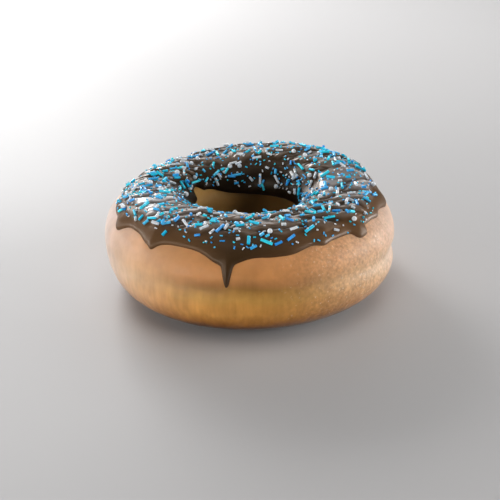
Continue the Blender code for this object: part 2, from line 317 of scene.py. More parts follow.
def geometry_tree(name, sizes):
    """A node tree with a named input for each size, its geometry input, and the sizes as Fields."""
    tree = bpy.data.node_groups.new(name, "GeometryNodeTree")
    tree.interface.new_socket("Geometry", in_out="INPUT", socket_type="NodeSocketGeometry")
    tree.interface.new_socket("Geometry", in_out="OUTPUT", socket_type="NodeSocketGeometry")
    for size in sizes:
        tree.interface.new_socket(size, in_out="INPUT", socket_type="NodeSocketFloat")
    start = tree.nodes.new("NodeGroupInput")
    return tree, start.outputs["Geometry"], {size: Field(tree, start.outputs[size]) for size in sizes}


def end_tree(tree, geometry, material):
    """Ends a tree with real geometry, smooth shading and the material."""
    real = add(tree, "GeometryNodeRealizeInstances", {"Geometry": geometry}).outputs[0]
    smooth = add(tree, "GeometryNodeSetShadeSmooth", {"Geometry": real}).outputs[0]
    done = add(tree, "GeometryNodeSetMaterial", {"Geometry": smooth, "Material": material}).outputs[0]
    add(tree, "NodeGroupOutput", {"Geometry": done})


def grown(name, tree, sizes, start=None):
    """The plain mesh object that a tree makes from its sizes, and from a starting mesh."""
    piece = bpy.data.objects.new(name, start or bpy.data.meshes.new(name))
    bpy.context.collection.objects.link(piece)
    modifier = piece.modifiers.new(name, "NODES")
    modifier.node_group = tree
    for item in tree.interface.items_tree:
        if item.in_out == "INPUT" and item.name in sizes:
            modifier[item.identifier] = sizes[item.name]
    evaluated = piece.evaluated_get(bpy.context.evaluated_depsgraph_get())
    plain = bpy.data.meshes.new_from_object(evaluated)
    piece.modifiers.remove(modifier)
    piece.data = plain
    return piece


def stored(tree, geometry, name, value, kind="FLOAT", domain="POINT"):
    """The geometry with a value kept on it under a name."""
    return add(tree, "GeometryNodeStoreNamedAttribute",
               {"Geometry": geometry, "Name": name, "Value": value},
               data_type=kind, domain=domain).outputs[0]


def pushed_out(tree, geometry, distance):
    """The geometry with each point moved along its normal."""
    normal = add(tree, "GeometryNodeInputNormal").outputs[0]
    offset = stretched(tree, normal, distance)
    return add(tree, "GeometryNodeSetPosition", {"Geometry": geometry, "Offset": offset}).outputs[0]


def new_material(name):
    """A material with its tree and its Principled shader."""
    material = bpy.data.materials.new(name)
    material.use_nodes = True
    return material, material.node_tree, material.node_tree.nodes["Principled BSDF"]


def ramp(tree, factor, stops):
    """A colour that follows a factor through stops, each a place from 0 to 1 and a linear colour."""
    node = add(tree, "ShaderNodeValToRGB", {"Fac": factor})
    elements = node.color_ramp.elements
    for place, _ in stops[2:]:
        elements.new(place)
    for element, (place, colour) in zip(elements, stops):
        element.position = place
        element.color = (*colour, 1)
    return node.outputs["Color"]


def mixed(tree, factor, one, other, blend="MIX"):
    """A mix of two colours, each a socket or a linear colour."""
    node = add(tree, "ShaderNodeMix", {"Factor_Float": factor}, data_type="RGBA", blend_type=blend)
    for colour, name in ((one, "A_Color"), (other, "B_Color")):
        slot = next(slot for slot in node.inputs if slot.identifier == name)
        feed(tree, (*colour, 1) if isinstance(colour, tuple) else colour, slot)
    return next(output for output in node.outputs if output.identifier == "Result_Color")


def mottle_group():
    """A shader group: uneven patches of a given size, stretched upwards, from a low to a high value."""
    group = bpy.data.node_groups.new("mottle", "ShaderNodeTree")
    for name, kind in (("Place", "NodeSocketVector"), ("Size", "NodeSocketFloat"),
                       ("Tallness", "NodeSocketFloat"), ("Low", "NodeSocketFloat"),
                       ("High", "NodeSocketFloat")):
        group.interface.new_socket(name, in_out="INPUT", socket_type=kind)
    group.interface.new_socket("Value", in_out="OUTPUT", socket_type="NodeSocketFloat")
    start = group.nodes.new("NodeGroupInput")
    given = {output.name: Field(group, output) for output in start.outputs if output.name}
    x, y, z = separate(group, start.outputs["Place"])
    place = combine(group, x / given["Size"], y / given["Size"], z / given["Size"] / given["Tallness"])
    patch = noise(group, place, detail=3.0)[0]
    spread = FIELD_MATHS.clip((patch - 0.3) / 0.4, 0, 1)
    value = given["Low"] + (given["High"] - given["Low"]) * spread
    add(group, "NodeGroupOutput", {"Value": value})
    return group


MOTTLE = mottle_group()


def mottled(tree, size, low, high, tallness=1.0):
    """Uneven patches over a material, in Object coordinates, as a Field."""
    place = add(tree, "ShaderNodeTexCoord").outputs["Object"]
    node = add(tree, "ShaderNodeGroup", node_tree=MOTTLE)
    for name, value in (("Place", place), ("Size", size), ("Tallness", tallness),
                        ("Low", low), ("High", high)):
        feed(tree, value, node.inputs[name])
    return Field(tree, node.outputs["Value"])


def attribute(tree, name):
    """A value kept on the mesh, as a Field in a material."""
    return Field(tree, add(tree, "ShaderNodeAttribute", attribute_name=name).outputs["Fac"])


def cells(tree, size):
    """Small rounded cells with furrows between them, from 0 in a furrow to 1."""
    place = stretched(tree, add(tree, "ShaderNodeTexCoord").outputs["Object"], 1 / size)
    node = add(tree, "ShaderNodeTexVoronoi", {"Vector": place, "Scale": 1.0}, feature="SMOOTH_F1")
    return 1 - Field(tree, node.outputs["Distance"])


def crust_material():
    """Fried crust, coloured by its height over the waist and mottled, streaked and crackled, with
    painted sheen, glints and shade.
    """
    material, tree, shader = new_material("fried_crust")
    over_waist = attribute(tree, "over waist") / BAND_HEIGHT + 0.5
    band = over_waist + mottled(tree, *BAND_WAVER)
    # In front the crust carries a painted shade line under the upper lobe
    colour = mixed(tree, attribute(tree, "shade_line"),
                   ramp(tree, band, PLAIN_CRUST), ramp(tree, band, SHADE_LINE_CRUST))
    # Pale sides: a paler fry with painted light from the side lights
    colour = mixed(tree, attribute(tree, "pale"), colour, ramp(tree, band, PALE_AND_LIT_CRUST))
    # Painted sheen at the left and right edges
    colour = mixed(tree, attribute(tree, "painted_sheen"), colour, PAINTED_SHEEN_COLOUR)
    crackled = attribute(tree, "crackled")
    patches = mottled(tree, *TONE_PATCHES)
    streaks = mottled(tree, *STREAKS, STREAK_TALLNESS) * (FOOT_STREAKS - over_waist * STREAK_FADE)
    crazing = mottled(tree, *CRAZING) + cells(tree, CRAZING_CELLS)
    crazed = 1 + (crazing - CRAZING_MEAN) * CRAZING_STRENGTH * crackled
    tone = patches * (1 + streaks) * crazed
    shade = combine(tree, tone, tone, tone)
    colour = mixed(tree, 1.0, colour, shade, "MULTIPLY")
    specks = FIELD_MATHS.clip(mottled(tree, *SPECKS), 0, 1) * crackled
    colour = mixed(tree, specks * SPECK_STRENGTH, colour, SPECK_COLOUR)
    oily_glints = FIELD_MATHS.clip(mottled(tree, *OILY_GLINT_FLECKS), 0, 1) * crackled
    # Painted glints on the oil flecks
    colour = mixed(tree, oily_glints * PAINTED_GLINT_STRENGTH, colour, PAINTED_GLINT_COLOUR)
    # Painted shade on the crust in the hole
    hole_shade_colour = mixed(tree, attribute(tree, "pale") * HOLE_SHADE_LIFT, *HOLE_SHADE_COLOURS)
    colour = mixed(tree, attribute(tree, "hole shade"), colour, hole_shade_colour)
    feed(tree, colour, shader.inputs["Base Color"])
    feed(tree, mottled(tree, *CRUST_ROUGHNESS), shader.inputs["Roughness"])
    feed(tree, oily_glints * OILY_GLOSS, shader.inputs["Coat Weight"])
    shader.inputs["Coat Roughness"].default_value = 0.12
    pits = mottled(tree, *PITS) + crazing * crackled
    bump = add(tree, "ShaderNodeBump", {"Strength": 0.3, "Distance": 0.12 * MM, "Height": pits})
    feed(tree, bump.outputs[0], shader.inputs["Normal"])
    shader.inputs["Subsurface Weight"].default_value = 0.2
    shader.inputs["Subsurface Radius"].default_value = (1.0, 0.5, 0.25)
    shader.inputs["Subsurface Scale"].default_value = 1.5 * MM
    shader.inputs["Specular IOR Level"].default_value = 0.22
    shader.inputs["Sheen Weight"].default_value = 0.1
    shader.inputs["Sheen Roughness"].default_value = 0.35
    return material


def dough_tree(material):
    """A sheet rolled round into the ring by the section's formula, with the crust's fine relief."""
    tree, _, size = geometry_tree("raised ring", {**DOUGH_SIZES, **CRUST_SIZES})
    sheet = add(tree, "GeometryNodeMeshGrid", {
        "Size X": 2 * math.pi, "Size Y": 2 * math.pi,
        "Vertices X": DOUGH_COLUMNS + 1, "Vertices Y": DOUGH_ROWS + 1}).outputs["Mesh"]
    azimuth, turn, _ = separate(tree, add(tree, "GeometryNodeInputPosition").outputs[0])
    radius, height, over_waist = dough_section(azimuth, turn, size, FIELD_MATHS)
    # The colours, with the painted shade line, sit lower in front
    shade_line_drop = ring_humps(azimuth, SHADE_LINE_DROPS, FIELD_MATHS)
    sheet = stored(tree, sheet, "over waist", over_waist + shade_line_drop)
    for name, humps in (("pale", PALE_AND_LIT_SIDES), ("painted_sheen", PAINTED_SHEEN_SIDES),
                        ("shade_line", SHADE_LINE_SIDES), ("crackled", CRACKLED_SIDES)):
        sheet = stored(tree, sheet, name, ring_humps(azimuth, humps, FIELD_MATHS))
    # 0 outside and 1 in the hole, with the change over the top and the underside: where shade is
    # painted
    sheet = stored(tree, sheet, "hole shade", FIELD_MATHS.clip(0.5 - FIELD_MATHS.cos(turn) * 2, 0, 1))
    place = combine(tree, RING_MIDDLE[0] + radius * FIELD_MATHS.cos(azimuth),
                    RING_MIDDLE[1] + radius * FIELD_MATHS.sin(azimuth),
                    FIELD_MATHS.clip(height, 0, 1))
    ring = add(tree, "GeometryNodeSetPosition", {"Geometry": sheet, "Position": place}).outputs[0]
    ring = add(tree, "GeometryNodeMergeByDistance", {"Geometry": ring, "Distance": SEAM_GAP}).outputs[0]
    position = add(tree, "GeometryNodeInputPosition").outputs[0]
    off_floor = FIELD_MATHS.clip(separate(tree, position)[2] / MM, 0, 1)
    coarse = noise(tree, stretched(tree, position, 1 / size["crust grain"]), detail=3.0)[0]
    ring = pushed_out(tree, ring, (coarse - 0.5) * 2 * size["crust relief"] * off_floor)
    end_tree(tree, ring, material)
    return tree


dough = grown("fried_dough", dough_tree(crust_material()), {**DOUGH_SIZES, **CRUST_SIZES})
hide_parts("dough")
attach(dough, "root")

# Icing
# A chocolate glaze poured over the warm ring. It ran down the outside in drips and a little way
# into the hole, and its skin wrinkled on top as it set, while the band below stayed smooth.
ICING_EDGE_HEIGHT = 27.7 * MM
ICING_EDGE_WAVES = ((1, 0.5 * MM, 290),)
INNER_EDGE_HEIGHT = 22.2 * MM
INNER_EDGE_WAVES = ((1, 0.3 * MM, 150), (3, 0.3 * MM, 20))

# Drips down the outer edge: azimuth of the tip, length below the edge, half width, squareness
DRIPS = (
    (193.0, 0.8 * MM, 12.0, 2.0),
    (206.2, 2.3 * MM, 4.3, 1.9),
    (228.5, 1.5 * MM, 5.5, 2.0),
    (230.6, 0.9 * MM, 1.8, 2.0),
    (261.5, 3.0 * MM, 8.0, 2.0),
    (262.3, 6.0 * MM, 1.6, 2.6),
    (281.5, 1.2 * MM, 11.0, 3.0),
    (301.5, 0.5 * MM, 3.0, 2.0),
    (321.9, 1.7 * MM, 4.2, 4.0),
    (339.5, 0.5 * MM, 3.5, 2.0),
    (356.5, 1.6 * MM, 6.5, 2.2),
    (26.0, 1.0 * MM, 4.5, 2.0),
    (42.0, 2.6 * MM, 3.6, 1.8),
    (58.0, 1.0 * MM, 7.0, 2.0),
    (77.0, 1.6 * MM, 8.0, 2.0),
    (78.0, 3.4 * MM, 2.4, 2.0),
    (98.0, 1.4 * MM, 5.0, 2.5),
    (117.0, 2.4 * MM, 4.2, 1.8),
    (136.0, 1.1 * MM, 6.0, 2.0),
    (152.0, 1.8 * MM, 4.2, 2.5),
    (170.0, 1.2 * MM, 5.0, 2.0),
)

# Arches in the edge inside the hole: azimuth, rise, half width, squareness
INNER_ARCHES = (
    (136.0, 2.0 * MM, 16.0, 2.0),
    (147.5, 1.9 * MM, 6.5, 4.0),
    (205.0, 1.6 * MM, 12.0, 2.0),
    (292.0, 2.2 * MM, 15.0, 2.5),
    (340.0, 1.2 * MM, 9.0, 2.0),
)

ICING_HEIGHT = 2.2 * MM

# Where the icing lies thicker or thinner: azimuth, difference, half width and squareness
ICING_MOUNDS = ((146, 1.1 * MM, 16, 2.0), (92, -0.45 * MM, 16, 2.0), (26, 1.0 * MM, 20, 2.0))
ICING_BURIED = 0.15 * MM
UNDERSIDE_DEPTH = 0.6 * MM
RIM_HEIGHT = 0.55 * MM
RIM_ROUNDING = 1.0 * MM
THINNING_WIDTH = 7.0 * MM
FOLD_SIZES = {
    "fold height": 0.75 * MM,
    "fold spacing": 5.0 * MM,
    "fold length": 22 * MM,
    "fine height": 0.15 * MM,
    "fine spacing": 2.4 * MM,
    "swirl size": 12 * MM,
    "swirl reach": 11 * MM,
    "lump height": 0.5 * MM,
    "lump size": 11 * MM,
}
FOLD_HEADING = math.radians(8)
CREASE_WIDTH = 0.16

# The fine folds are taken this far from the long ones in the same noise, so that they differ
FINE_OFFSET = 7

# Turns at which the wrinkled top ends outside and inside, the width of the change, how far the
# lumps shift its line, and how far the lumps reach past it
WRINKLED_TURNS = (math.radians(66), math.radians(116))
WRINKLE_FADE = 2.2 * MM
WRINKLE_WANDER = 6 * MM
LUMP_REACH = 6 * MM

# Width of the wet line along the rim
WET_WIDTH = 0.9 * MM

# Where the band's sides get painted light, where its rim is wet, and where the folds get a painted
# highlight: azimuth, strength, half width and squareness
SIDE_LIT_GLAZE = ((222, 0.8, 36, 6.0), (324, 1.0, 42, 3.0))
WET_RIM = ((262, 1.0, 3.0, 2.0), (300, 1.0, 10, 4.0), (328, 0.8, 14, 4.0))
PAINTED_HIGHLIGHTS = ((203, 1.0, 28, 3.0), (358, 0.6, 18, 2.0))

# Turns between which the glaze gets darker into the hole: painted shade
SHADE_IN_HOLE_TURNS = (math.radians(108), math.radians(135))

CHOCOLATE_COLOURS = ((0.032, 0.016, 0.005), (0.046, 0.023, 0.008))
# Painted light: warmer, lighter glaze on the band's sides, where the side lights fall
SIDE_LIT_COLOUR = (0.125, 0.062, 0.026)
# Painted shade: near-black glaze in the hole
SHADE_IN_HOLE_COLOUR = (0.012, 0.006, 0.002)
# Painted highlight on the fold crests, over the painted shade of the darker creases; the second colour
# where the highlight is strongest
LIT_FOLD_COLOURS = ((0.155, 0.105, 0.073), (0.50, 0.46, 0.45))
# Painted highlight: a whitish haze over the glaze where the folds catch the light, creases too
HIGHLIGHT_HAZE_COLOUR = (0.32, 0.29, 0.28)
HIGHLIGHT_HAZE_STRENGTH = 0.25

# The chocolate's mottling: the size of its patches, and its lowest and highest value
CHOCOLATE_PATCHES = (6 * MM, 0.0, 1.0)
CHOCOLATE_ROUGHNESS = (3 * MM, 0.38, 0.46)
CHOCOLATE_GRAIN = (0.6 * MM, 0.0, 1.0)

# How much smoother and glossier the folds are than the plain glaze
FOLD_SMOOTHNESS = 0.10
FOLD_GLOSS = 0.45

# Fineness of the mesh, and how much closer its lines lie at steep drips and near the rims
ICING_COLUMNS = 640
ICING_ROWS = 128
UNDERSIDE_ROWS = 10
CURVE_STEPS = 240
EDGE_STEPS = 14400
DRIP_CROWDING = 1.8
RIM_CROWDING = 3.0
RIM_SHARE = 0.05


def points_on_dough(azimuth, turn):
    """Points on the dough for arrays of azimuth and turn, with X, Y, Z last."""
    radius, height, _ = dough_section(azimuth, turn, DOUGH_SIZES, np)
    x = RING_MIDDLE[0] + radius * np.cos(azimuth)
    y = RING_MIDDLE[1] + radius * np.sin(azimuth)
    return np.stack([x, y, height], -1)


def normals_on_dough(azimuth, turn):
    """Outward unit normals of the dough at the same places."""
    step = 1e-3
    along = points_on_dough(azimuth + step, turn) - points_on_dough(azimuth - step, turn)
    around = points_on_dough(azimuth, turn + step) - points_on_dough(azimuth, turn - step)
    normal = np.cross(along, around)
    return normal / np.linalg.norm(normal, axis=-1, keepdims=True)


def turn_at_height(azimuth, height):
    """Turn at which the outer side of the dough's upper half reaches a height."""
    top = DOUGH_SIZES["top height"] + ring_waves(azimuth, TOP_WAVES, np)
    widest = DOUGH_SIZES["widest height"]
    share = np.clip((height - widest) / (top - widest), 0, 1)
    return np.arcsin(share ** (DOUGH_SIZES["shoulder squareness"] / 2))


def outer_edge_height(azimuth):
    """Height of the icing's outer edge above the table, with its drips."""
    edge = ICING_EDGE_HEIGHT + ring_waves(azimuth, ICING_EDGE_WAVES, np)
    return edge - ring_humps(azimuth, DRIPS, np)


def inner_edge_height(azimuth):
    """Height of the icing's edge inside the hole."""
    edge = INNER_EDGE_HEIGHT + ring_waves(azimuth, INNER_EDGE_WAVES, np)
    return edge + ring_humps(azimuth, INNER_ARCHES, np)


def icing_height(azimuth):
    """How high the icing stands over the dough, away from its rim."""
    return ICING_HEIGHT + ring_humps(azimuth, ICING_MOUNDS, np)


def icing_turns(azimuth):
    """Turns at which the icing starts outside and ends inside the hole."""
    start = turn_at_height(azimuth, outer_edge_height(azimuth))
    end = math.pi - turn_at_height(azimuth, inner_edge_height(azimuth))
    return start, end


def turns_along(azimuth, start, end, shares):
    """Turns at the given shares of the way over the section from start to end, for each azimuth."""
    fine = np.linspace(0, 1, CURVE_STEPS)
    turn = start[:, None] + (end - start)[:, None] * fine[None, :]
    place = points_on_dough(np.repeat(azimuth[:, None], len(fine), 1), turn)
    steps = np.linalg.norm(np.diff(place, axis=1), axis=-1)
    length = np.concatenate([np.zeros((len(azimuth), 1)), np.cumsum(steps, axis=1)], 1)
    rows = [np.interp(shares * length[i, -1], length[i], turn[i]) for i in range(len(azimuth))]
    return np.array(rows)


def spaced(positions, density, count, closed):
    """Count positions whose spacing follows a density given along a fine list of positions."""
    running = np.concatenate([[0], np.cumsum((density[1:] + density[:-1]) / 2 * np.diff(positions))])
    steps = np.linspace(0, running[-1], count, endpoint=not closed)
    return np.interp(steps, running, positions)


def icing_columns():
    """Azimuths of the icing's columns, closer together where the edge falls steeply into a drip."""
    fine = np.linspace(0, 2 * math.pi, EDGE_STEPS + 1)
    slope = np.abs(np.gradient(outer_edge_height(fine), fine)) / DOUGH_SIZES["outer radius"]
    return spaced(fine, 1 + DRIP_CROWDING * slope, ICING_COLUMNS, True)


def distance_to_edge(points):
    """Distance from each point on the dough to the nearest edge of the icing."""
    azimuth = np.linspace(0, 2 * math.pi, EDGE_STEPS, endpoint=False)
    start, end = icing_turns(azimuth)
    line = np.concatenate([points_on_dough(azimuth, start), points_on_dough(azimuth, end)])
    finder = KDTree(len(line))
    for number, place in enumerate(line):
        finder.insert(place, number)
    finder.balance()
    flat = points.reshape(-1, 3)
    return np.array([finder.find(place)[2] for place in flat]).reshape(points.shape[:-1])


def icing_mesh():
    """The closed skin of icing before it wrinkles, with the values its material and wrinkles use."""
    azimuth = icing_columns()
    start, end = icing_turns(azimuth)
    fine = np.linspace(0, 1, CURVE_STEPS)
    density = 1 + RIM_CROWDING * np.exp(-(np.minimum(fine, 1 - fine) / RIM_SHARE) ** 2)
    shares = spaced(fine, density, ICING_ROWS, False)
    turn = turns_along(azimuth, start, end, shares)
    around = np.repeat(azimuth[:, None], ICING_ROWS, 1)
    place = points_on_dough(around, turn)
    distance = distance_to_edge(place)
    # The first and last rows are the edges themselves
    distance[:, [0, -1]] = 0
    rim = np.sqrt(1 - (1 - np.clip(distance / RIM_ROUNDING, 0, 1)) ** 2)
    thinning = (1 - np.clip(distance / THINNING_WIDTH, 0, 1)) ** 2
    over_rim = (icing_height(around) - RIM_HEIGHT) * (1 - thinning)
    height = -ICING_BURIED + (RIM_HEIGHT + ICING_BURIED) * rim + over_rim
    upper = place + normals_on_dough(around, turn) * height[..., None]
    steps = np.linalg.norm(np.diff(place, axis=1), axis=-1)
    travel = np.concatenate([np.zeros((len(azimuth), 1)), np.cumsum(steps, axis=1)], 1)
    limits = [np.array([np.interp(limit, turn[i], travel[i]) for i in range(len(azimuth))])
              for limit in WRINKLED_TURNS]
    in_top = np.minimum(travel - limits[0][:, None], limits[1][:, None] - travel)

    under_shares = np.linspace(0, 1, UNDERSIDE_ROWS + 2)[-2:0:-1]
    under_turn = turns_along(azimuth, start, end, under_shares)
    under_around = np.repeat(azimuth[:, None], UNDERSIDE_ROWS, 1)
    under = points_on_dough(under_around, under_turn)
    under = under - normals_on_dough(under_around, under_turn) * UNDERSIDE_DEPTH
    points = np.concatenate([upper, under], 1)
    rows = points.shape[1]
    faces = []
    for column in range(ICING_COLUMNS):
        here = column * rows
        beside = (column + 1) % ICING_COLUMNS * rows
        for row in range(rows):
            above = (row + 1) % rows
            faces.append((here + row, beside + row, beside + above, here + above))
    mesh = bpy.data.meshes.new("icing skin")
    mesh.from_pydata(points.reshape(-1, 3), [], faces)
    wet = ring_humps(around, WET_RIM, np) * np.clip(1 - distance / WET_WIDTH, 0, 1)
    side_lit = ring_humps(around, SIDE_LIT_GLAZE, np) * np.clip(1 - in_top / WRINKLE_FADE, 0, 1)
    painted_highlight = ring_humps(around, PAINTED_HIGHLIGHTS, np) * np.clip(in_top / WRINKLE_FADE, 0, 1)
    shade_in_hole = np.clip((turn - SHADE_IN_HOLE_TURNS[0]) / (SHADE_IN_HOLE_TURNS[1] - SHADE_IN_HOLE_TURNS[0]), 0, 1)
    for name, upper_values, under_value in (
            ("in top", in_top, -1), ("side_lit", side_lit, 0), ("wet", wet, 0), ("shade_in_hole", shade_in_hole, 0),
            ("painted_highlight", painted_highlight, 0)):
        kept = mesh.attributes.new(name, "FLOAT", "POINT")
        values = np.concatenate([upper_values, np.full(under.shape[:-1], under_value)], 1)
        kept.data.foreach_set("value", values.ravel().astype(np.float32))
    return mesh


def folds(tree, place, width):
    """Rounded folds with sharp creases between them, as a Field from 0 in a crease to 1."""
    wave = noise(tree, place, detail=1.5, roughness=0.4)[0]
    flank = FIELD_MATHS.clip(FIELD_MATHS.abs(wave - 0.5) / width, 0, 1)
    return flank * (2 - flank)


def wrinkle_tree(material):
    """Lumps over the icing, and on top long wandering wrinkles with fine ones between them."""
    tree, skin, size = geometry_tree("wrinkled skin", FOLD_SIZES)
    position = add(tree, "GeometryNodeInputPosition").outputs[0]
    in_top = add(tree, "GeometryNodeInputNamedAttribute", {"Name": "in top"}, data_type="FLOAT")
    in_top = Field(tree, in_top.outputs[0])
    swirl = noise(tree, stretched(tree, position, 1 / size["swirl size"]))[1]
    centred = add(tree, "ShaderNodeVectorMath", {"Vector": swirl, "Vector_001": (0.5, 0.5, 0.5)},
                  operation="SUBTRACT").outputs[0]
    swept = stretched(tree, centred, size["swirl reach"])
    warped = add(tree, "ShaderNodeVectorMath", {"Vector": position, "Vector_001": swept},
                 operation="ADD").outputs[0]
    x, y, z = separate(tree, warped)
    along = x * math.cos(FOLD_HEADING) + y * math.sin(FOLD_HEADING)
    over = y * math.cos(FOLD_HEADING) - x * math.sin(FOLD_HEADING)
    main = folds(tree, combine(tree, along / size["fold length"], over / size["fold spacing"],
                                z / size["fold length"]), CREASE_WIDTH)
    fine = folds(tree, combine(tree, along / size["fold length"] * 2, over / size["fine spacing"],
                                z / size["fold length"] + FINE_OFFSET), CREASE_WIDTH)
    lumps = noise(tree, stretched(tree, position, 1 / size["lump size"]))[0]
    fade = FIELD_MATHS.clip((in_top + (lumps - 0.5) * WRINKLE_WANDER) / WRINKLE_FADE, 0, 1)
    inside = FIELD_MATHS.clip((in_top + LUMP_REACH) / MM, 0, 1)
    wrinkles = main * size["fold height"] + fine * size["fine height"]
    rise = wrinkles * fade + (lumps - 0.5) * size["lump height"] * inside
    skin = stored(tree, skin, "wrinkle", main * fade)
    skin = pushed_out(tree, skin, rise)
    end_tree(tree, skin, material)
    return tree


def chocolate_material():
    """Set chocolate glaze: dark, painted light on the band's sides, painted shade in the hole and
    creases, painted highlights on the folds, which are glossier.
    """
    material, tree, shader = new_material("chocolate_glaze")
    wrinkle = attribute(tree, "wrinkle")
    plain = mixed(tree, mottled(tree, *CHOCOLATE_PATCHES), *CHOCOLATE_COLOURS)
    # Painted light on the band's sides
    plain = mixed(tree, attribute(tree, "side_lit"), plain, SIDE_LIT_COLOUR)
    # Painted shade into the hole
    plain = mixed(tree, attribute(tree, "shade_in_hole"), plain, SHADE_IN_HOLE_COLOUR)
    # Painted highlight haze at the top left and at the hole's lip
    plain = mixed(tree, attribute(tree, "painted_highlight") * HIGHLIGHT_HAZE_STRENGTH, plain, HIGHLIGHT_HAZE_COLOUR)
    # Fold crests painted lighter than the creases: painted highlight and shade
    lit_folds = mixed(tree, attribute(tree, "painted_highlight"), *LIT_FOLD_COLOURS)
    feed(tree, mixed(tree, wrinkle ** 2, plain, lit_folds), shader.inputs["Base Color"])
    roughness = mottled(tree, *CHOCOLATE_ROUGHNESS) - wrinkle * FOLD_SMOOTHNESS
    feed(tree, roughness, shader.inputs["Roughness"])
    grain = mottled(tree, *CHOCOLATE_GRAIN)
    bump = add(tree, "ShaderNodeBump", {"Strength": 0.12, "Distance": 0.05 * MM, "Height": grain})
    feed(tree, bump.outputs[0], shader.inputs["Normal"])
    feed(tree, wrinkle * FOLD_GLOSS + attribute(tree, "wet"), shader.inputs["Coat Weight"])
    shader.inputs["Coat Roughness"].default_value = 0.12
    shader.inputs["Specular IOR Level"].default_value = 0.25
    shader.inputs["Specular Tint"].default_value = (1.0, 0.80, 0.62, 1)
    return material


icing = grown("chocolate_icing", wrinkle_tree(chocolate_material()), FOLD_SIZES, icing_mesh())
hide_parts("icing")
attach(icing, "root")

# Sugar sprinkles
# Short strands pressed from coloured sugar, in turquoise, blue and white, with round white pearls
# and small broken bits. They were shaken on while the glaze was wet, and lie where they fell.
STRAND_RADIUS = 0.5 * MM
STRAND_LENGTHS = (2.7 * MM, 5.0 * MM)
STRAND_TRIM = 0.8
FIRST_COLOURS = ("cyan", "blue", "cyan", "white")
GIRTHS = (0.74, 0.98)
SHORT_LENGTHS = (1.1 * MM, 2.8 * MM)
BIT_LENGTHS = (0.4 * MM, 0.9 * MM)
BIT_RADIUS = 0.25 * MM
PEARL_RADIUS = 0.9 * MM
SPRINKLE_RADII = {"strand": STRAND_RADIUS, "pearl": PEARL_RADIUS, "bit": BIT_RADIUS}
SPACED_STRANDS = 120
SPACED_PEARLS = 18
SPRINKLE_CLEARANCE = 1.4 * MM
SPRINKLE_SINK = 0.2 * MM
SINK_SHARE = 0.4
SPRINKLED_OUTSIDE = 29.0 * MM
SPRINKLED_INSIDE = 25.6 * MM
SPRINKLE_SEED = 11
LATER_SEED = 23
LATER_STRANDS = 230
LATER_PEARLS = 5
LATER_BITS = 900
LATER_OUTSIDE = 28.2 * MM
LATER_INSIDE = 24.4 * MM

# How far those limits rise or fall round the ring: azimuth, rise, half width and squareness
OUTSIDE_SHIFTS = ((147, -2.6 * MM, 42, 3.0), (228, 0.8 * MM, 22, 3.0), (28, 2.0 * MM, 42, 3.0))
INSIDE_SHIFTS = ((192, 2.4 * MM, 30, 3.0),)

# A sprinkle is dropped from this height over the icing, and stays where it lies no higher and no
# steeper than the next two
DROP_HEIGHT = 6 * MM
HIGHEST_REST = 1.3 * MM
STEEPEST_REST = 0.4
COLOUR_SHARES = (("cyan", 0.33), ("blue", 0.38), ("white", 0.29))
STRAND_SIDES = 8
BEVEL_SHARE = 0.08
BEVEL_TAPER = 0.38

# The sugar's mottling: the size of its patches, and its lowest and highest value
SUGAR_TONE = (0.7 * MM, 0.84, 1.1)
SUGAR_ROUGHNESS = (1.2 * MM, 0.22, 0.42)


def drawn_place(draw, outside, inside, lengths, outside_shifts=(), inside_shifts=()):
    """One random place on the icing, with its normal, a direction along the icing and a length.

    A place is left out the more often the nearer it lies to the hole, so that the cover is even.
    """
    azimuth = np.array([draw.uniform(0, 2 * math.pi)])
    share = draw.random()
    keep = draw.random()
    heading = draw.uniform(0, math.pi)
    length = draw.uniform(*lengths)
    start = turn_at_height(azimuth, outside + ring_humps(azimuth, outside_shifts, np))
    end = math.pi - turn_at_height(azimuth, inside + ring_humps(azimuth, inside_shifts, np))
    turn = turns_along(azimuth, start, end, np.array([share]))[0]
    place = points_on_dough(azimuth, turn)[0]
    if keep * DOUGH_SIZES["outer radius"] > math.hypot(place[0], place[1]):
        return None
    normal = normals_on_dough(azimuth, turn)[0]
    side = np.array([-math.sin(azimuth[0]), math.cos(azimuth[0]), 0])
    direction = side * math.cos(heading) + np.cross(normal, side) * math.sin(heading)
    return place + normal * icing_height(azimuth[0]), normal, direction, length


def spaced_places():
    """The first sprinkles, well clear of each other: kind, place, normal, direction and length."""
    draw = random.Random(SPRINKLE_SEED)
    taken = np.zeros((0, 3))
    places = []
    wanted = ["strand"] * SPACED_STRANDS + ["pearl"] * SPACED_PEARLS
    while wanted:
        drawn = drawn_place(draw, SPRINKLED_OUTSIDE, SPRINKLED_INSIDE, STRAND_LENGTHS)
        if drawn is None:
            continue
        place, normal, direction, length = drawn
        reach = length / 2 if wanted[0] == "strand" else 0
        spine = np.array([place + direction * step * reach for step in (-1, -0.5, 0, 0.5, 1)])
        apart = np.linalg.norm(spine[:, None, :] - taken[None, :, :], axis=-1)
        if len(taken) and apart.min() < SPRINKLE_CLEARANCE:
            continue
        taken = np.concatenate([taken, spine])
        kind = wanted.pop(0)
        places.append((kind, place, normal, direction, length))
    return places


